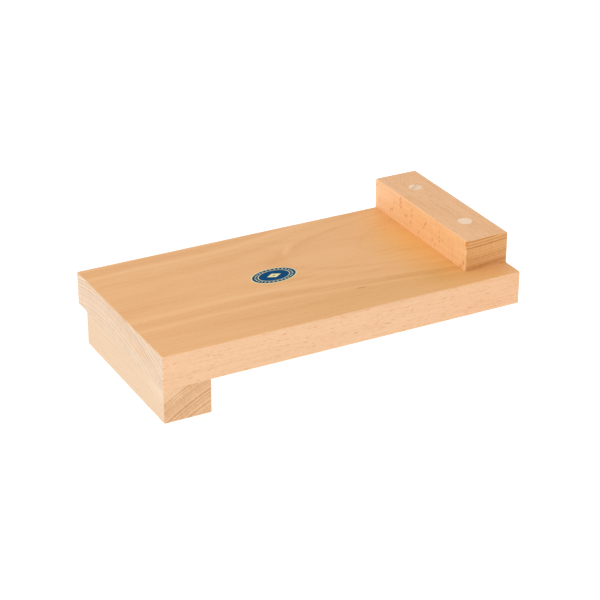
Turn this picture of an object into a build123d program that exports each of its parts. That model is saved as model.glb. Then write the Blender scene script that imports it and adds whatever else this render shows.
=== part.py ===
from build123d import *
import os

# Bench hook: a flat board that hooks over the front edge of a bench and holds small work for
# sawing and planing. A fence stands on top of the board at one end, and a hook cleat hangs
# below it at the other. Each cleat is glued to the board and pinned with two wooden dowels,
# driven in from the cleat's outer face and sawn off flush. Turned over, it serves the other
# hand, so the cleats are set in from opposite long sides.
#
# Millimetres. +Z is up and +X runs from the hook end to the fence end. The origin is the
# centre of the board's underside, the face that lies on the bench top.

# Board
board_length = 250.0
board_width = 131.5
board_thickness = 22.5

# Fence, flush with the board's +X end and +Y side
fence_width = 31.0
fence_height = 21.0
saw_gap = 16.0  # bare board beside the fence, where the saw drops past it

# Hook cleat, flush with the board's -X end and -Y side
hook_width = 31.5
hook_height = 22.5
hook_gap = 14.0  # bare board beside the hook

# Dowels, cut from 3/8 inch rod
dowel_radius = 4.75
dowel_length = 38.0
dowel_chamfer = 0.8  # on the leading end
glue_pocket = 1.0  # each hole is this much deeper than its dowel
fence_dowel_setback = 15.0  # from the fence's back face
fence_dowel_insets = (27.5, 25.5)  # from the fence's -Y and +Y ends
hook_dowel_setback = 15.75  # from the hook's outer face
hook_dowel_inset = 26.0  # from each end of the hook

# Oval label on the board, nearly central between the -X end and the fence
label_length = 32.0
label_breadth = 20.0
label_thickness = 0.15
label_tilt = 5.0  # degrees anticlockwise from the board's length
label_offset = (-1.0, 2.0)  # from the centre of the bare board

# All outer arrises are sanded to a small radius. Glued joints stay sharp.
arris_radius = 0.5

# Faces and centres that follow from the sizes above
half_length = board_length / 2
half_width = board_width / 2
fence_front_x = half_length - fence_width
fence_end_y = saw_gap - half_width
hook_inner_x = hook_width - half_length
hook_end_y = half_width - hook_gap
fence_dowel_x = half_length - fence_dowel_setback
fence_dowel_ys = (fence_end_y + fence_dowel_insets[0], half_width - fence_dowel_insets[1])
hook_dowel_x = hook_dowel_setback - half_length
hook_dowel_ys = (hook_dowel_inset - half_width, hook_end_y - hook_dowel_inset)
fence_hole_depth = dowel_length - fence_height + glue_pocket
hook_hole_depth = dowel_length - hook_height + glue_pocket
bare_board_centre_x = (fence_front_x - half_length) / 2

board_top = Plane.XY.offset(board_thickness)
board_underside = Plane.XY
fence_top = Plane.XY.offset(board_thickness + fence_height)
hook_underside = Plane.XY.offset(-hook_height)

os.makedirs("parts", exist_ok=True)


def outer_edges(part, along, across, side, level):
    """The edges along one axis that lie at one side (0 low, -1 high) and one level of a block."""
    return part.edges().filter_by(along).group_by(across)[side].group_by(Axis.Z)[level]


def free_arris(start, inward, along):
    """Plane across an arris: its X and Y axes run into the wood, its Z axis runs along the arris."""
    return Plane(origin=start, x_dir=inward, z_dir=along)


# Fence, with a through hole for each dowel
with BuildPart() as fence:
    with BuildSketch(board_top):
        with Locations((half_length, half_width)):
            Rectangle(fence_width, board_width - saw_gap, align=(Align.MAX, Align.MAX))
    extrude(amount=fence_height)
    fillet(fence.edges().filter_by(Axis.Z) + fence.edges().group_by(Axis.Z)[-1], radius=arris_radius)
    with BuildSketch(fence_top):
        with Locations(*[(fence_dowel_x, y) for y in fence_dowel_ys]):
            Circle(dowel_radius)
    extrude(amount=-fence_height, mode=Mode.SUBTRACT)

fence.part.label = "fence"
export_step(fence.part, "parts/fence.step")


# Hook cleat, with a through hole for each dowel
with BuildPart() as hook_cleat:
    with BuildSketch(board_underside):
        with Locations((-half_length, -half_width)):
            Rectangle(hook_width, board_width - hook_gap, align=(Align.MIN, Align.MIN))
    extrude(amount=-hook_height)
    fillet(
        hook_cleat.edges().filter_by(Axis.Z) + hook_cleat.edges().group_by(Axis.Z)[0],
        radius=arris_radius,
    )
    with BuildSketch(hook_underside):
        with Locations(*[(hook_dowel_x, y) for y in hook_dowel_ys]):
            Circle(dowel_radius)
    extrude(amount=hook_height, mode=Mode.SUBTRACT)

hook_cleat.part.label = "hook_cleat"
export_step(hook_cleat.part, "parts/hook_cleat.step")


# Label, a thin oval stuck to the board's top face
with BuildPart() as label:
    with BuildSketch(board_top):
        with Locations((bare_board_centre_x + label_offset[0], label_offset[1])):
            Ellipse(label_length / 2, label_breadth / 2, rotation=label_tilt)
    extrude(amount=label_thickness)

label.part.label = "label"
export_step(label.part, "parts/label.step")


# Base board, full length and width, with blind dowel holes in both faces
with BuildPart() as base_board:
    with BuildSketch(board_underside):
        Rectangle(board_length, board_width)
    extrude(amount=board_thickness)

    # These arrises run past no cleat, so they are rounded from end to end.
    whole_arrises = base_board.edges().filter_by(Axis.Z)
    whole_arrises += outer_edges(base_board, Axis.X, Axis.Y, 0, -1)
    whole_arrises += outer_edges(base_board, Axis.Y, Axis.X, 0, -1)
    whole_arrises += outer_edges(base_board, Axis.X, Axis.Y, -1, 0)
    whole_arrises += outer_edges(base_board, Axis.Y, Axis.X, -1, 0)
    fillet(whole_arrises, radius=arris_radius)

    # These are flush with a cleat for part of their length, and rounded only beyond it.
    part_arrises = (
        (free_arris((half_length, fence_end_y, board_thickness), (-1, 0, 0), (0, -1, 0)), saw_gap),
        (free_arris((fence_front_x, half_width, board_thickness), (0, 0, -1), (-1, 0, 0)),
         board_length - fence_width),
        (free_arris((-half_length, hook_end_y, 0), (0, 0, 1), (0, 1, 0)), hook_gap),
        (free_arris((hook_inner_x, -half_width, 0), (0, 1, 0), (1, 0, 0)), board_length - hook_width),
    )
    for arris_plane, arris_length in part_arrises:
        with BuildSketch(arris_plane):
            Rectangle(arris_radius, arris_radius, align=(Align.MIN, Align.MIN))
            with Locations((arris_radius, arris_radius)):
                Circle(arris_radius, mode=Mode.SUBTRACT)
        extrude(amount=arris_length, mode=Mode.SUBTRACT)

    with BuildSketch(board_top):
        with Locations(*[(fence_dowel_x, y) for y in fence_dowel_ys]):
            Circle(dowel_radius)
    extrude(amount=-fence_hole_depth, mode=Mode.SUBTRACT)

    with BuildSketch(board_underside):
        with Locations(*[(hook_dowel_x, y) for y in hook_dowel_ys]):
            Circle(dowel_radius)
    extrude(amount=hook_hole_depth, mode=Mode.SUBTRACT)

# The footprint of each piece that is stuck to the board becomes a face of its own, which leaves
# the bare faces, the ones that a bench top and a workpiece lie against, with their true outline.
board = base_board.part
for stuck_piece, joint_level in ((fence, 0), (label, 0), (hook_cleat, -1)):
    footprint = stuck_piece.faces().filter_by(GeomType.PLANE).sort_by(Axis.Z)[joint_level]
    board = board.split(footprint, keep=Keep.ALL)[0]

board.label = "base_board"
export_step(board, "parts/base_board.step")


def make_dowel(name, outer_face, x, y, inward):
    """A plain dowel, flush with the cleat's outer face, its leading end chamfered."""
    with BuildPart() as dowel:
        with BuildSketch(outer_face):
            with Locations((x, y)):
                Circle(dowel_radius)
        extrude(amount=inward * dowel_length)
        leading_end = dowel.edges().filter_by(GeomType.CIRCLE).sort_by(Axis.Z)[0 if inward < 0 else -1]
        chamfer(leading_end, length=dowel_chamfer)
    dowel.part.label = name
    export_step(dowel.part, f"parts/{name}.step")


# Two dowels pin each cleat: the fence's go down into the board, the hook's go up into it.
for side, y in zip(("near", "far"), fence_dowel_ys):
    make_dowel(f"fence_dowel_{side}", fence_top, fence_dowel_x, y, inward=-1)
for side, y in zip(("near", "far"), hook_dowel_ys):
    make_dowel(f"hook_dowel_{side}", hook_underside, hook_dowel_x, y, inward=1)
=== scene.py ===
import math

import bmesh
import bpy
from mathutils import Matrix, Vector, noise


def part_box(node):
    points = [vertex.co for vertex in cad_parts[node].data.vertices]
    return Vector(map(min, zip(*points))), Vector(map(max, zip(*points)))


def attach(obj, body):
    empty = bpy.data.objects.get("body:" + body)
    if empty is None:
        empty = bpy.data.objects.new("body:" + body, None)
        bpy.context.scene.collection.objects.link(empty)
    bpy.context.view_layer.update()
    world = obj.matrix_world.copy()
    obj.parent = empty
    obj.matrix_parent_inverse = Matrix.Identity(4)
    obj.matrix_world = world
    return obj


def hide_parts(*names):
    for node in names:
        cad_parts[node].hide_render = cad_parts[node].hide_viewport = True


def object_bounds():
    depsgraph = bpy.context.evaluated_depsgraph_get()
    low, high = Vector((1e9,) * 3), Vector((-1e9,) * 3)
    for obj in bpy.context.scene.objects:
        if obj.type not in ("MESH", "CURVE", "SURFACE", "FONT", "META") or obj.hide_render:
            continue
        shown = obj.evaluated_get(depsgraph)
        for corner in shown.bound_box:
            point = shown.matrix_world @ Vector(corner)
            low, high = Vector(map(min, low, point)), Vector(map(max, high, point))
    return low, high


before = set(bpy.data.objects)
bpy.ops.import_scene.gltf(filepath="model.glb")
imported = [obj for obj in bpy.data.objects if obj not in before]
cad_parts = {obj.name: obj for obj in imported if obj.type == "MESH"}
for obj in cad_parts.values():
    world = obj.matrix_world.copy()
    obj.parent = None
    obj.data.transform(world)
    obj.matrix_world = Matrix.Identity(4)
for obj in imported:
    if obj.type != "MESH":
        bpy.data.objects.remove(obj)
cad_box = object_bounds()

MM = 0.001


# ---------------------------------------------------------------- camera, floor and light

CAMERA_AZIMUTH = -27.86
CAMERA_ELEVATION = 26.43
CAMERA_DISTANCE = 1.3
CAMERA_LENS = 121.1
CAMERA_AIM = Vector((3.0, 3.5, 0.0)) * MM

WORLD_STRENGTH = 0.75
FLOOR_ALBEDO = 0.30
FLOOR_GLOW = 0.94
FLOOR_HALF_SIZE = 6.0

# name, place in metres, width in metres, power in watts
SOFTBOXES = (
    ("left_box", (-1.6, 0.2, 0.7), 1.2, 11.5),
    ("front_box", (-0.2, -1.6, 0.7), 1.2, 7.0),
    ("top_box", (-0.2, 0.0, 1.8), 1.4, 3.0),
)


def add_camera():
    """The photograph's view: from the hook end and the open side, looking down a little."""
    azimuth = math.radians(CAMERA_AZIMUTH)
    elevation = math.radians(CAMERA_ELEVATION)
    back = Vector((
        math.sin(azimuth) * math.cos(elevation),
        -math.cos(azimuth) * math.cos(elevation),
        math.sin(elevation),
    ))
    data = bpy.data.cameras.new("camera")
    data.lens = CAMERA_LENS
    data.sensor_width = 36.0
    data.clip_start = 0.01
    data.clip_end = 50.0
    camera = bpy.data.objects.new("camera", data)
    bpy.context.scene.collection.objects.link(camera)
    camera.location = CAMERA_AIM + back * CAMERA_DISTANCE
    camera.rotation_euler = (-back).to_track_quat("-Z", "Y").to_euler()
    bpy.context.scene.camera = camera


def add_softbox(name, place, width, power):
    """A square area light that faces the object. The camera doesn't see it."""
    data = bpy.data.lights.new(name, "AREA")
    data.shape = "SQUARE"
    data.size = width
    data.energy = power
    light = bpy.data.objects.new(name, data)
    bpy.context.scene.collection.objects.link(light)
    light.location = place
    light.rotation_euler = (-Vector(place)).to_track_quat("-Z", "Y").to_euler()
    light.visible_camera = False


def add_studio():
    """A bright, even tent of light over a white floor, a little stronger from left and front."""
    world = bpy.data.worlds.new("studio")
    bpy.context.scene.world = world
    world.use_nodes = True
    background = world.node_tree.nodes["Background"]
    background.inputs["Color"].default_value = (1.0, 1.0, 1.0, 1.0)
    background.inputs["Strength"].default_value = WORLD_STRENGTH
    for softbox in SOFTBOXES:
        add_softbox(*softbox)

    mesh = bpy.data.meshes.new("floor")
    low_z = cad_box[0][2]
    corners = ((-1, -1), (1, -1), (1, 1), (-1, 1))
    mesh.from_pydata(
        [(FLOOR_HALF_SIZE * x, FLOOR_HALF_SIZE * y, low_z) for x, y in corners], [], [(0, 1, 2, 3)]
    )
    floor = bpy.data.objects.new("floor", mesh)
    bpy.context.scene.collection.objects.link(floor)
    material = bpy.data.materials.new("floor")
    material.use_nodes = True
    shader = material.node_tree.nodes["Principled BSDF"]
    shader.inputs["Base Color"].default_value = (FLOOR_ALBEDO, FLOOR_ALBEDO, FLOOR_ALBEDO, 1.0)
    shader.inputs["Roughness"].default_value = 0.9
    shader.inputs["Emission Color"].default_value = (1.0, 1.0, 1.0, 1.0)
    shader.inputs["Emission Strength"].default_value = FLOOR_GLOW
    mesh.materials.append(material)


# ---------------------------------------------------------------- node tree helper


class Tree:
    """A material's node tree, with a short call for each kind of node that it uses."""

    def __init__(self, name):
        self.material = bpy.data.materials.new(name)
        self.material.use_nodes = True
        self.nodes = self.material.node_tree.nodes
        self.links = self.material.node_tree.links
        self.shader = self.nodes["Principled BSDF"]
        coordinates = self.nodes.new("ShaderNodeTexCoord")
        metres = self.split(coordinates.outputs["Object"])
        facing = self.split(coordinates.outputs["Normal"])
        self.place = [self.mul(axis, 1.0 / MM) for axis in metres]
        self.facing = [self.mul(axis, axis) for axis in facing]

    def put(self, socket, value):
        """Feeds a socket from another socket, or sets it to a constant."""
        if isinstance(value, bpy.types.NodeSocket):
            self.links.new(value, socket)
        else:
            socket.default_value = value

    def math(self, operation, first, second=0.0, third=0.0):
        node = self.nodes.new("ShaderNodeMath")
        node.operation = operation
        for socket, value in zip(node.inputs, (first, second, third)):
            self.put(socket, value)
        return node.outputs[0]

    def add(self, first, second):
        return self.math("ADD", first, second)

    def sub(self, first, second):
        return self.math("SUBTRACT", first, second)

    def mul(self, first, second):
        return self.math("MULTIPLY", first, second)

    def total(self, *terms):
        """The sum of terms, each a value and its weight."""
        result = 0.0
        for value, weight in terms:
            result = self.math("MULTIPLY_ADD", value, weight, result)
        return result

    def vector(self, x, y, z):
        node = self.nodes.new("ShaderNodeCombineXYZ")
        for socket, value in zip(node.inputs, (x, y, z)):
            self.put(socket, value)
        return node.outputs[0]

    def split(self, vector):
        node = self.nodes.new("ShaderNodeSeparateXYZ")
        self.links.new(vector, node.inputs[0])
        return node.outputs

    def step(self, value, low, high, to_low=0.0, to_high=1.0):
        """Goes smoothly from to_low to to_high as value goes from low to high."""
        node = self.nodes.new("ShaderNodeMapRange")
        node.interpolation_type = "SMOOTHSTEP"
        for socket, item in zip(node.inputs, (value, low, high, to_low, to_high)):
            self.put(socket, item)
        return node.outputs[0]

    def noise(self, x, y, z, detail=2.0, roughness=0.5):
        """Smooth noise round 0, mostly between -0.3 and 0.3, with features one unit wide."""
        node = self.nodes.new("ShaderNodeTexNoise")
        self.put(node.inputs["Vector"], self.vector(x, y, z))
        node.inputs["Scale"].default_value = 1.0
        node.inputs["Detail"].default_value = detail
        node.inputs["Roughness"].default_value = roughness
        return self.sub(node.outputs[0], 0.5)

    def scattered(self, x, y, z, size, share):
        """Scattered spots, about one unit apart: size is their radius, share how many are kept."""
        node = self.nodes.new("ShaderNodeTexVoronoi")
        self.put(node.inputs["Vector"], self.vector(x, y, z))
        node.inputs["Scale"].default_value = 1.0
        chance = self.split(node.outputs["Color"])[0]
        spot = self.step(node.outputs["Distance"], 0.3 * size, size, 1.0, 0.0)
        return self.mul(spot, self.step(chance, 1.0 - share, 1.0 - 0.5 * share))

    def curve(self, value, stops):
        """A value read off a ramp with smooth stops, each (place, height)."""
        node = self.nodes.new("ShaderNodeValToRGB")
        node.color_ramp.interpolation = "EASE"
        elements = node.color_ramp.elements
        while len(elements) < len(stops):
            elements.new(0.5)
        for element, (place, height) in zip(elements, stops):
            element.position = place
            element.color = (height, height, height, 1.0)
        self.put(node.inputs[0], value)
        return node.outputs[0]

    def mix(self, factor, first, second, blend="MIX"):
        """Mixes two colours, each a socket or three numbers."""
        node = self.nodes.new("ShaderNodeMix")
        node.data_type = "RGBA"
        node.blend_type = blend
        self.put(node.inputs[0], factor)
        for socket, value in zip((node.inputs[6], node.inputs[7]), (first, second)):
            self.put(socket, (*value, 1.0) if isinstance(value, tuple) else value)
        return node.outputs[2]

    def spot(self, centre, half_sizes, tilt):
        """1 at a point in the wood, fading out over an ellipse that is turned by tilt in plan."""
        turn = math.radians(tilt)
        x, y, z = [self.sub(axis, middle) for axis, middle in zip(self.place, centre)]
        u = self.total((x, math.cos(turn)), (y, math.sin(turn)))
        v = self.total((y, math.cos(turn)), (x, -math.sin(turn)))
        scaled = [self.mul(axis, 1.0 / size) for axis, size in zip((u, v, z), half_sizes)]
        square = self.total(*[(axis, axis) for axis in scaled])
        return self.math("EXPONENT", self.mul(square, -1.0))

    def bump(self, height, distance, strength=1.0):
        """Raises the surface by height times distance, in metres."""
        node = self.nodes.new("ShaderNodeBump")
        node.inputs["Strength"].default_value = strength
        node.inputs["Distance"].default_value = distance
        self.put(node.inputs["Height"], height)
        self.links.new(node.outputs[0], self.shader.inputs["Normal"])


# ---------------------------------------------------------------- wood

# Darkness through one ring, from its pale early wood to its dark late wood: place, darkness
LATE_WOOD = ((0.0, 0.30), (0.12, 0.0), (0.50, 0.10), (0.80, 0.45), (0.92, 1.0), (1.0, 0.30))

# What the features multiply a wood's colour by
LONG_BROWN = (0.74, 0.52, 0.20)
END_BROWN = (0.68, 0.50, 0.33)
PALE = (1.10, 1.18, 1.32)
# Partly the wood's own warmer colour, partly painted bounce light and shade from the fence
WARM_WOOD_AND_FENCE_BOUNCE = (1.03, 0.98, 0.70)
OLIVE = (0.92, 0.90, 0.78)
RUSTY = (1.03, 0.92, 0.80)
FLAKE = (0.80, 0.60, 0.42)
BUFF = (0.90, 0.98, 1.23)
ROSY = (1.0, 1.02, 1.12)
TAWNY = (1.0, 0.95, 0.91)
HONEY = (0.985, 0.975, 0.86)

ANGLE_SCALE = 140.0  # units of noise per radian round the pith
WOOD_SPECULAR = 0.35
WOOD_RELIEF = 0.05 * MM


def radial_marks(tree, flakes, seed):
    """Large slanting ray flakes, and faint upright saw marks, on the fence's faces along X.

    Both fade along the fence. The flakes are stronger towards its far end and its top, and the saw
    marks towards its near end. flakes is the flakes' greatest darkness.
    """
    x, y, z = tree.place
    flake = tree.scattered(
        tree.total((y, 0.42), (z, 0.26), (x, 0.11)), tree.total((z, 0.13), (y, -0.06)), seed,
        size=0.42, share=0.42,
    )
    flake = tree.mul(tree.mul(flake, tree.facing[0]), tree.step(y, -35.0, -8.0, 0.1, flakes))
    flake = tree.mul(flake, tree.step(z, 25.0, 37.0, 0.4, 1.0))
    saw = tree.noise(tree.mul(y, 0.42), tree.mul(z, 0.02), seed)
    saw = tree.mul(tree.mul(saw, tree.facing[0]), tree.step(y, -15.0, 15.0, 1.1, 0.2))
    return tree.math("MAXIMUM", flake, tree.math("MAXIMUM", saw, 0.0))


def wood(
    name,
    grain,
    pith,
    ring_width,
    tints,
    rings,
    flecks,
    taper=0.0,
    taper_from=-1000.0,
    wander=2.0,
    strong_rings=(),
    strong_faces=(0.0, 0.0, 0.0),
    fleck_scale=2.0,
    fibre_depth=0.7,
    flakes=0.0,
    seed=0.0,
    marks=(),
    stains_and_painted_light=(),
):
    """Solid wood, cut from a tree whose pith runs along one row axis. Lengths are in mm.

    grain is the row axis (0, 1 or 2) that the fibres follow, and pith is where the pith crosses the
    other two. taper is how much the rings spread per mm along the grain, beyond taper_from, and
    wander how far they stray from circles. tints are the colours of the faces that look along X, Y
    and Z; besides the wood's own end-grain and long-grain colour they hold painted light, each face
    made lighter or darker by how light falls on it. rings is the darkness of the late wood on long
    grain and on end grain, and flecks that of the rays on the faces that look along X, Y and Z;
    fleck_scale makes the rays thinner. fibre_depth is the darkness of the fine streaks along the
    grain. strong_rings are single rings, each (radius, half width, strength), and strong_faces is
    how much they show on the faces that look along X, Y and Z. flakes is the darkness of the large
    ray flakes on the fence, which come with faint saw marks. marks are soft spots, each (centre,
    half sizes, tilt, strength). A ring or a mark is darker where its strength is positive, and
    paler where it is negative. stains_and_painted_light are soft spots of another colour, each
    (centre, half sizes, tilt, colour); most are the wood's own colour, and some are painted light,
    such as the warm bounce light and shade painted on the board by the fence.
    """
    tree = Tree(name)
    along = tree.place[grain]
    across, up = [tree.place[axis] for axis in range(3) if axis != grain]
    endness = tree.facing[grain]

    # Rings: distance from a slightly wandering pith
    stray = tree.noise(
        tree.mul(across, 0.016), tree.mul(up, 0.016), tree.total((along, 0.0065), (1.0, seed)),
        roughness=0.45,
    )
    ripple = tree.noise(
        tree.mul(across, 0.09), tree.mul(up, 0.09), tree.total((along, 0.022), (1.0, seed + 7.0)),
        detail=3.0,
    )
    from_pith_a = tree.sub(across, pith[0])
    from_pith_b = tree.sub(up, pith[1])
    radius = tree.math("SQRT", tree.total((from_pith_a, from_pith_a), (from_pith_b, from_pith_b)))
    spreading = tree.math("SMOOTH_MAX", along, taper_from, 50.0)
    cone = tree.total((radius, 1.0), (spreading, taper), (stray, wander), (ripple, 0.17 * wander))
    uneven = tree.noise(tree.mul(cone, 0.11), seed + 3.0, 0.0, detail=1.0)
    ring = tree.math("DIVIDE", tree.total((cone, 1.0), (uneven, 2.4 * ring_width)), ring_width)
    late = tree.curve(tree.math("FRACT", ring), LATE_WOOD)
    ring_strength = tree.noise(tree.mul(tree.math("FLOOR", ring), 0.73), seed, 0.5, detail=0.0)
    late = tree.mul(late, tree.total((ring_strength, 1.8), (1.0, 0.75)))
    singles = 0.0
    for single_radius, half_width, strength in strong_rings:
        away = tree.mul(tree.sub(cone, single_radius), 1.0 / half_width)
        line = tree.math("EXPONENT", tree.mul(tree.mul(away, away), -1.0))
        singles = tree.total((line, strength), (singles, 1.0))
    singles = tree.mul(singles, tree.total(*zip(tree.facing, strong_faces)))

    # Rays: short spindles along the grain on long grain, thin radial lines on end grain
    tangent = tree.mul(tree.math("ARCTAN2", from_pith_b, from_pith_a), ANGLE_SCALE)
    long_flecks = tree.scattered(
        tree.mul(tangent, fleck_scale), tree.mul(radius, 0.3), tree.total((along, 0.17), (1.0, seed)),
        size=0.34, share=0.27,
    )
    short_flecks = tree.scattered(
        tree.mul(tangent, 1.3 * fleck_scale), tree.mul(radius, 0.5),
        tree.total((along, 0.36), (1.0, seed)),
        size=0.36, share=0.6,
    )
    rays = tree.total((long_flecks, 1.0), (short_flecks, 0.4))
    fleck_depth = tree.total(*zip(tree.facing, flecks))
    end_rays = tree.noise(
        tree.mul(tangent, 1.7), tree.mul(radius, 0.16), tree.mul(along, 0.4), detail=3.0
    )

    # Fibres, pores and streaks run along the grain, bands are broad and soft
    fibres = tree.noise(
        tree.mul(across, 1.3), tree.mul(up, 1.3), tree.total((along, 0.045), (1.0, seed)),
        detail=4.0, roughness=0.62,
    )
    pores = tree.noise(
        tree.mul(across, 3.2), tree.mul(up, 3.2), tree.mul(along, 0.4), roughness=0.7
    )
    streaks = tree.noise(
        tree.mul(across, 0.32), tree.mul(up, 0.32), tree.total((along, 0.012), (1.0, seed + 5.0)),
        detail=3.0, roughness=0.6,
    )
    bands = tree.noise(
        tree.mul(across, 0.075), tree.mul(up, 0.075), tree.total((along, 0.008), (1.0, seed + 11.0)),
        detail=3.0, roughness=0.55,
    )

    # Darkness of every feature, added up
    ring_depth = tree.total((endness, rings[1] - rings[0]), (1.0, rings[0]))
    dark = tree.total(
        (late, ring_depth), (rays, fleck_depth), (tree.mul(end_rays, endness), 0.6),
        (fibres, fibre_depth), (streaks, 0.30), (bands, 0.45), (pores, 1.05), (singles, 1.0),
    )
    for centre, half_sizes, tilt, darkness in marks:
        dark = tree.total((tree.spot(centre, half_sizes, tilt), darkness), (dark, 1.0))

    # Colour: each direction of face has its tint, which holds the wood's own colour and also painted
    # light, each face set lighter or darker by how light falls on it. The features darken it towards
    # brown
    sideways = tree.math("MAXIMUM", tree.add(tree.facing[0], tree.facing[1]), 0.001)
    colour = tree.mix(tree.math("DIVIDE", tree.facing[1], sideways), tints[0], tints[1])
    colour = tree.mix(tree.facing[2], colour, tints[2])
    brown = tree.mix(endness, LONG_BROWN, END_BROWN)
    browner = tree.mix(1.0, colour, brown, "MULTIPLY")
    paler = tree.mix(1.0, colour, PALE, "MULTIPLY")
    colour = tree.mix(tree.math("MAXIMUM", dark, 0.0), colour, browner)
    colour = tree.mix(tree.math("MAXIMUM", tree.mul(dark, -1.0), 0.0), colour, paler)
    # Soft spots of another colour: most are the wood's own colour, and some are painted light, such as
    # warm bounce light and shade by the fence
    for centre, half_sizes, tilt, spot_tint in stains_and_painted_light:
        spot_tinted = tree.mix(1.0, colour, spot_tint, "MULTIPLY")
        colour = tree.mix(tree.spot(centre, half_sizes, tilt), colour, spot_tinted)
    if flakes:
        colour = tree.mix(
            radial_marks(tree, flakes, seed), colour, tree.mix(1.0, colour, FLAKE, "MULTIPLY")
        )
    tree.links.new(colour, tree.shader.inputs["Base Color"])

    rough = tree.total((1.0, 0.50), (fibres, 0.25), (endness, 0.10))
    tree.links.new(rough, tree.shader.inputs["Roughness"])
    tree.shader.inputs["Specular IOR Level"].default_value = WOOD_SPECULAR
    height = tree.total((fibres, 0.8), (pores, 0.6), (rays, -0.3), (late, -0.25))
    tree.bump(height, WOOD_RELIEF, 0.7)
    return tree.material


# ---------------------------------------------------------------- label

LABEL_BLUE = (0.0, 0.058, 0.160)
LABEL_GOLD = (0.78, 0.72, 0.36)
LABEL_SHADE = (0.80, 0.82, 0.85)
LABEL_SPECULAR = 0.02
LABEL_RELIEF = 0.02 * MM

# Sizes in mm, the oval's turn on the board, and the number of dashes round it
LABEL_HALF_LENGTH = 16.0
LABEL_HALF_BREADTH = 10.0
LABEL_RIM = 0.68
LABEL_TILT = math.radians(5.0)
LOZENGE_HALF_LENGTH = 5.2
LOZENGE_HALF_BREADTH = 2.8
DASHES = 28.0


def label_film():
    """Satin blue film with a gold rim, a thin inner oval, a ring of dashes and a lozenge."""
    tree = Tree("label_film")
    low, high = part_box("label")
    centre = [(low[axis] + high[axis]) / 2 / MM for axis in range(2)]
    x = tree.sub(tree.place[0], centre[0])
    y = tree.sub(tree.place[1], centre[1])
    u = tree.total((x, math.cos(LABEL_TILT)), (y, math.sin(LABEL_TILT)))
    v = tree.total((y, math.cos(LABEL_TILT)), (x, -math.sin(LABEL_TILT)))

    def oval(inset):
        """Distance out from the centre, 1 on an oval that lies inset inside the label's edge."""
        a = tree.mul(u, 1.0 / (LABEL_HALF_LENGTH - inset))
        b = tree.mul(v, 1.0 / (LABEL_HALF_BREADTH - inset))
        return tree.math("SQRT", tree.total((a, a), (b, b)))

    out = oval(0.0)
    rim = tree.step(oval(LABEL_RIM), 0.985, 1.015)
    line = tree.mul(tree.step(out, 0.665, 0.68), tree.step(out, 0.70, 0.715, 1.0, 0.0))
    band = tree.mul(tree.step(out, 0.765, 0.785), tree.step(out, 0.845, 0.865, 1.0, 0.0))
    angle = tree.math("ARCTAN2", tree.mul(v, LABEL_HALF_LENGTH / LABEL_HALF_BREADTH), u)
    dashes = tree.mul(band, tree.step(tree.math("SINE", tree.mul(angle, DASHES)), 0.2, 0.6))
    lozenge = tree.total(
        (tree.math("ABSOLUTE", u), 1.0 / LOZENGE_HALF_LENGTH),
        (tree.math("ABSOLUTE", v), 1.0 / LOZENGE_HALF_BREADTH),
    )
    lozenge = tree.mul(tree.step(lozenge, 0.94, 1.06, 1.0, 0.0), tree.step(lozenge, 0.18, 0.28))
    gold = rim
    for shape in (line, dashes, lozenge):
        gold = tree.math("MAXIMUM", gold, shape)
    grain = tree.noise(tree.mul(tree.place[0], 2.2), tree.mul(tree.place[1], 2.2), 0.0, detail=4.0)
    colour = tree.mix(gold, LABEL_BLUE, LABEL_GOLD)
    shaded = tree.mix(1.0, colour, LABEL_SHADE, "MULTIPLY")
    colour = tree.mix(tree.total((grain, 0.5), (1.0, 0.12)), colour, shaded)
    tree.links.new(colour, tree.shader.inputs["Base Color"])
    rough = tree.total((1.0, 0.45), (grain, 0.2), (gold, -0.08))
    tree.links.new(rough, tree.shader.inputs["Roughness"])
    tree.shader.inputs["Specular IOR Level"].default_value = LABEL_SPECULAR
    tree.bump(tree.total((gold, 0.5), (grain, 0.5)), LABEL_RELIEF, 0.6)
    return tree.material


# ---------------------------------------------------------------- timber

ARRIS_RADIUS = 0.55 * MM
JOINT_RADIUS = 0.06 * MM
LARGEST_RADIUS = 1.2 * MM
ARC_STEPS = 5
POINT_STEP = 2.0 * MM
END_STATIONS = (0.0, 0.04, 0.12, 0.25, 0.42, 0.62, 0.88, 1.25)  # mm in from each end
CAP_HOLD = 0.5 * MM
TOUCHING = 0.01 * MM
FACE_MARGIN = LARGEST_RADIUS + 0.3 * MM
RAGGED_REACH = 16.0 * MM
RAGGED_DEPTH = 2.6 * MM
HOLE_CLEARANCE = 0.05 * MM
GLUE_POCKET = 1.0 * MM
CUTTER_OVERRUN = 2.0 * MM
HOLE_SEGMENTS = 72
SHARP_ANGLE = math.radians(35.0)


def spread(low, high, margin, breaks):
    """Places from low to high, about a step apart, with a close pair at each break."""
    count = max(1, round((high - low - 2 * margin) / POINT_STEP))
    span = high - low - 2 * margin
    places = [low + margin + span * index / count for index in range(count + 1)]
    for place in breaks:
        if low + margin < place < high - margin:
            places = [other for other in places if abs(other - place) > 0.4 * POINT_STEP]
            places += [place - 0.05 * MM, place + 0.05 * MM]
    return sorted(places)


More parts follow.
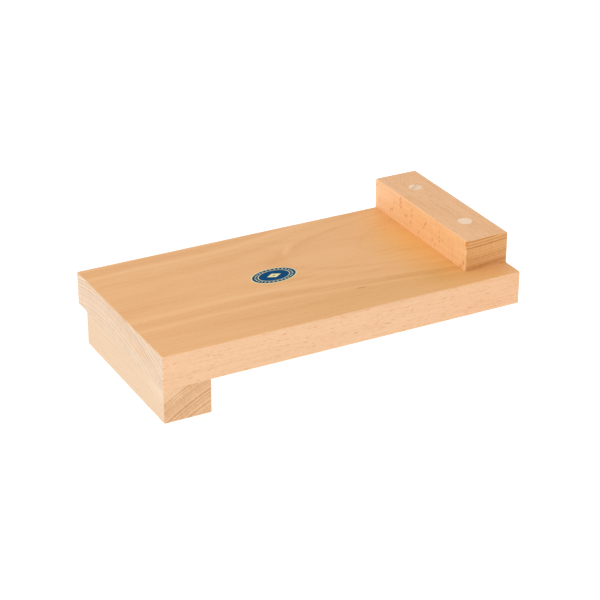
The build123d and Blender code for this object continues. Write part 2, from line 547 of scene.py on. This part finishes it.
class Timber:
    """A sawn and sanded block: its faces flat, its free arrises rounded by hand, so unevenly.

    It is lofted along one axis of its box. An arris that lies against a neighbour stays sharp.
    """

    def __init__(self, node, run, neighbours, dowels, ragged=None):
        self.low, self.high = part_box(node)
        self.run = run
        self.side, self.rise = [axis for axis in range(3) if axis != run]
        self.neighbours = [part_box(neighbour) for neighbour in neighbours]
        self.dowels = [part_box(dowel) for dowel in dowels]
        self.ragged = ragged

    def point(self, along, side, rise):
        place = [0.0, 0.0, 0.0]
        place[self.run] = along
        place[self.side] = side
        place[self.rise] = rise
        return Vector(place)

    def radius(self, place):
        """The arris radius at a place on an arris."""
        for low, high in self.neighbours:
            if all(low[axis] - TOUCHING <= place[axis] <= high[axis] + TOUCHING for axis in range(3)):
                return JOINT_RADIUS
        wear = 0.22 * noise.noise(place / (9.0 * MM)) + 0.10 * noise.noise(place / (2.2 * MM))
        radius = ARRIS_RADIUS * (1.0 + wear)
        if self.ragged is not None:
            centre, reach = self.ragged
            near = max(0.0, 1.0 - (place - centre).length / reach)
            radius += near * RAGGED_DEPTH * max(0.0, noise.noise(place / (1.4 * MM)))
        return min(radius, LARGEST_RADIUS)

    def section(self, along, end, depth, hold=0.0):
        """The outline at one station, which lies depth inside an end of the block."""

        def inset(place):
            """How far the end arris cuts in at a place on the outline."""
            radius = self.radius(place)
            if depth >= radius:
                return 0.0
            return radius - math.sqrt(radius ** 2 - (radius - depth) ** 2) + hold

        low, high = self.low, self.high
        corners = (
            (high[self.side], low[self.rise], 1, -1), (high[self.side], high[self.rise], 1, 1),
            (low[self.side], high[self.rise], -1, 1), (low[self.side], low[self.rise], -1, -1),
        )
        outline = []
        for index, (side, rise, side_sign, rise_sign) in enumerate(corners):
            # Insets of the two faces that meet at this corner, read a little way along each
            side_inset = inset(self.point(end, side, rise - rise_sign * FACE_MARGIN))
            rise_inset = inset(self.point(end, side - side_sign * FACE_MARGIN, rise))
            radius = self.radius(self.point(along, side, rise))
            radius = max(radius - max(side_inset, rise_inset), 0.04 * MM)
            centre_side = side - side_sign * (side_inset + radius)
            centre_rise = rise - rise_sign * (rise_inset + radius)
            start = -90.0 + 90.0 * index
            for step in range(ARC_STEPS + 1):
                angle = math.radians(start + 90.0 * step / ARC_STEPS)
                outline.append(self.point(
                    along, centre_side + radius * math.cos(angle), centre_rise + radius * math.sin(angle)
                ))
            outline += self.face_points(along, end, index, inset)
        return outline

    def face_points(self, along, end, index, inset):
        """The outline's points on the flat face that follows a corner."""
        upright = index in (0, 2)
        axis = self.rise if upright else self.side
        breaks = [box[corner][axis] for box in self.neighbours for corner in (0, 1)]
        places = spread(self.low[axis], self.high[axis], FACE_MARGIN, breaks)
        if index in (1, 2):
            places.reverse()
        points = []
        for place in places:
            if upright:
                sign = 1 if index == 0 else -1
                side = (self.high if index == 0 else self.low)[self.side]
                cut = inset(self.point(end, side, place))
                points.append(self.point(along, side - sign * cut, place))
            else:
                sign = 1 if index == 1 else -1
                rise = (self.high if index == 1 else self.low)[self.rise]
                cut = inset(self.point(end, place, rise))
                points.append(self.point(along, place, rise - sign * cut))
        return points

    def build(self, name):
        """Lofts the block, drills its dowel holes and returns it as an object."""
        low_end, high_end = self.low[self.run], self.high[self.run]
        breaks = [box[corner][self.run] for box in self.neighbours for corner in (0, 1)]
        depths = [depth * MM for depth in END_STATIONS]
        sections = [self.section(low_end, low_end, 0.0, CAP_HOLD)]
        sections += [self.section(low_end + depth, low_end, depth) for depth in depths]
        for along in spread(low_end, high_end, depths[-1] + 1.0 * MM, breaks):
            sections.append(self.section(along, low_end, math.inf))
        sections += [self.section(high_end - depth, high_end, depth) for depth in reversed(depths)]
        sections.append(self.section(high_end, high_end, 0.0, CAP_HOLD))

        shape = bmesh.new()
        loops = [[shape.verts.new(point) for point in section] for section in sections]
        for first, second in zip(loops, loops[1:]):
            for index in range(len(first)):
                following = (index + 1) % len(first)
                shape.faces.new((first[index], first[following], second[following], second[index]))
        shape.faces.new(loops[0])
        shape.faces.new(loops[-1])
        bmesh.ops.recalc_face_normals(shape, faces=shape.faces)
        block = new_object(name, shape)
        for dowel in self.dowels:
            drill(block, dowel, self.low[2], self.high[2])
        for polygon in block.data.polygons:
            polygon.use_smooth = True
        block.data.set_sharp_from_angle(angle=SHARP_ANGLE)
        return block


def new_object(name, shape):
    mesh = bpy.data.meshes.new(name)
    shape.to_mesh(mesh)
    shape.free()
    piece = bpy.data.objects.new(name, mesh)
    bpy.context.scene.collection.objects.link(piece)
    return piece


def drill(block, dowel, low_z, high_z):
    """Cuts a dowel's hole, with a pocket past the dowel's end where the hole is blind."""
    low, high = dowel
    bottom = low[2] - (GLUE_POCKET if low[2] > low_z else CUTTER_OVERRUN)
    top = high[2] + (GLUE_POCKET if high[2] < high_z else CUTTER_OVERRUN)
    radius = (high[0] - low[0]) / 2 + HOLE_CLEARANCE
    shape = bmesh.new()
    bmesh.ops.create_cone(
        shape, cap_ends=True, segments=HOLE_SEGMENTS, radius1=radius, radius2=radius, depth=top - bottom
    )
    centre = Vector(((low[0] + high[0]) / 2, (low[1] + high[1]) / 2, (bottom + top) / 2))
    bmesh.ops.translate(shape, verts=shape.verts, vec=centre)
    cutter = new_object("cutter", shape)
    cut = block.modifiers.new("hole", "BOOLEAN")
    cut.operation = "DIFFERENCE"
    cut.solver = "EXACT"
    cut.object = cutter
    result = bpy.data.meshes.new_from_object(block.evaluated_get(bpy.context.evaluated_depsgraph_get()))
    block.modifiers.clear()
    block.data = result
    bpy.data.objects.remove(cutter)


# ---------------------------------------------------------------- the bench hook

DOWEL_TINTS = ((0.78, 0.60, 0.42), (0.78, 0.60, 0.42), (0.86, 0.66, 0.47))
DOWEL_PITH = (-16.0, 25.0)  # mm from the dowel's low X and its high Y

# name, darkness of the late wood on the end, dark lines across the end as single rings
DOWELS = (
    ("fence_dowel_near", 0.2, ()),
    ("fence_dowel_far", 0.9, ((34.8, 0.25, 1.6), (35.9, 0.25, 1.3))),
    ("hook_dowel_near", 0.35, ()),
    ("hook_dowel_far", 0.6, ()),
)


def paint(node_name, material):
    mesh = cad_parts[node_name].data
    mesh.materials.clear()
    mesh.materials.append(material)


def place_timber(name, node, slot, material, **shape):
    """Builds the timber that stands for a CAD node."""
    piece = Timber(node, **shape).build(name)
    piece.data.name = name
    piece.data.materials.clear()
    piece.data.materials.append(material)
    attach(piece, "root")
    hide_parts(node)


add_camera()
add_studio()
bpy.context.scene.view_settings.view_transform = "Standard"

# The tints of these woods hold painted light besides the wood's own colour: the ends and sides of the
# board and the hook cleat are paler than their tops, and the fence's front a brighter orange, as light
# and bounce light fall on them
board_wood = wood(
    "beech_board", grain=0, pith=(17.0, -178.0), ring_width=2.6, taper=-0.042, taper_from=-20.0,
    tints=((0.652, 0.49, 0.352), (0.748, 0.465, 0.274), (0.775, 0.42, 0.183)), rings=(0.10, 0.75),
    flecks=(0.0, 1.2, 0.15), fleck_scale=6.0, seed=1.3,
    strong_rings=(
        (206.7, 0.35, -1.0), (204.0, 0.35, -0.8), (205.3, 0.9, 0.3), (202.2, 0.4, 0.25),
        (200.45, 0.25, 0.25),
    ),
    strong_faces=(1.0, 0.0, 0.5),
    marks=(
        ((24.0, -39.0, 22.5), (3.5, 0.8, 2.0), -4.0, 0.8),
        ((8.0, 32.0, 22.5), (6.5, 2.0, 3.0), 48.0, -0.6),
    ),
    stains_and_painted_light=(
        # Warm patch on the board's top by the fence: partly the board's own colour, partly painted
        # bounce light and shade from the fence, more orange towards it
        ((98.0, 8.0, 22.5), (28.0, 60.0, 1.5), 0.0, WARM_WOOD_AND_FENCE_BOUNCE),
        ((78.0, -2.0, 22.5), (15.0, 30.0, 1.5), 0.0, HONEY),
        ((35.0, -48.0, 22.5), (95.0, 23.0, 1.5), 0.0, OLIVE),
        ((80.0, -46.0, 22.5), (18.0, 13.0, 1.5), 10.0, OLIVE),
        ((115.0, -65.75, 11.0), (60.0, 1.5, 30.0), 0.0, TAWNY),
        ((-125.0, -29.0, 10.0), (4.0, 9.0, 2.5), 0.0, RUSTY),
    ),
)
fence_wood = wood(
    "beech_fence", grain=1, pith=(94.0, 283.0), ring_width=2.0, taper=0.02,
    tints=((0.84, 0.487, 0.227), (0.665, 0.344, 0.125), (0.80, 0.458, 0.235)), rings=(0.12, 0.5),
    flecks=(0.1, 0.0, 1.3), fleck_scale=3.0, fibre_depth=1.3, flakes=1.7, seed=5.1,
    strong_faces=(0.05, 1.0, 0.05),
    strong_rings=(
        (239.7, 0.45, 0.8), (241.8, 0.4, 0.6), (244.0, 0.45, 0.8), (252.0, 1.3, 0.35),
        (257.8, 1.3, 0.5),
    ),
    marks=(
        ((94.0, -49.5, 41.5), (1.0, 1.0, 1.8), 0.0, 1.2),
        ((94.0, -47.2, 27.5), (0.8, 0.8, 1.6), 0.0, 1.0),
        ((94.0, -44.0, 24.0), (0.8, 1.3, 1.2), 0.0, 0.9),
    ),
    stains_and_painted_light=(
        ((125.0, 8.0, 33.0), (0.8, 500.0, 100.0), 0.0, BUFF),
        ((94.0, 62.0, 33.0), (3.0, 30.0, 100.0), 0.0, ROSY),
    ),
)
hook_wood = wood(
    "beech_hook", grain=1, pith=(-21.0, -169.0), ring_width=1.3, taper=0.02,
    tints=((0.646, 0.466, 0.311), (0.70, 0.438, 0.247), (0.72, 0.42, 0.22)), rings=(0.12, 1.1),
    flecks=(0.3, 0.0, 0.5), wander=1.5, seed=9.7,
    strong_rings=(
        (188.5, 0.4, 0.9), (186.8, 0.35, 0.6), (184.9, 0.3, 0.35), (183.4, 0.3, 0.4),
        (181.9, 0.3, 0.3), (180.2, 0.3, 0.3), (177.5, 0.35, 0.9), (175.2, 0.35, 0.4),
        (172.9, 0.35, 0.4), (170.1, 0.4, 0.7),
    ),
    strong_faces=(0.05, 1.0, 0.05),
    marks=(((-122.0, -65.75, -2.0), (9.0, 20.0, 6.0), 0.0, -0.5),),
)

place_timber(
    "board_timber", "base_board", "beech_board", board_wood, run=0, neighbours=("fence", "hook_cleat"),
    dowels=("fence_dowel_near", "fence_dowel_far", "hook_dowel_near", "hook_dowel_far"),
)
fence_low, fence_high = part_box("fence")
fence_corner = Vector((fence_low[0], fence_low[1], (fence_low[2] + fence_high[2]) / 2))
place_timber(
    "fence_timber", "fence", "beech_fence", fence_wood, run=1, neighbours=("base_board",),
    dowels=("fence_dowel_near", "fence_dowel_far"), ragged=(fence_corner, RAGGED_REACH),
)
place_timber(
    "hook_timber", "hook_cleat", "beech_hook", hook_wood, run=1, neighbours=("base_board",),
    dowels=("hook_dowel_near", "hook_dowel_far"),
)

for number, (dowel, ring_depth, lines) in enumerate(DOWELS):
    dowel_low, dowel_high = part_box(dowel)
    pith = (dowel_low[0] / MM + DOWEL_PITH[0], dowel_high[1] / MM + DOWEL_PITH[1])
    paint(dowel, wood(
        dowel + "_wood", grain=2, pith=pith, ring_width=1.5, tints=DOWEL_TINTS,
        rings=(0.2, ring_depth), flecks=(0.2, 0.2, 0.0), strong_rings=lines,
        strong_faces=(0.0, 0.0, 1.0), seed=2.0 + number,
    ))
paint("label", label_film())
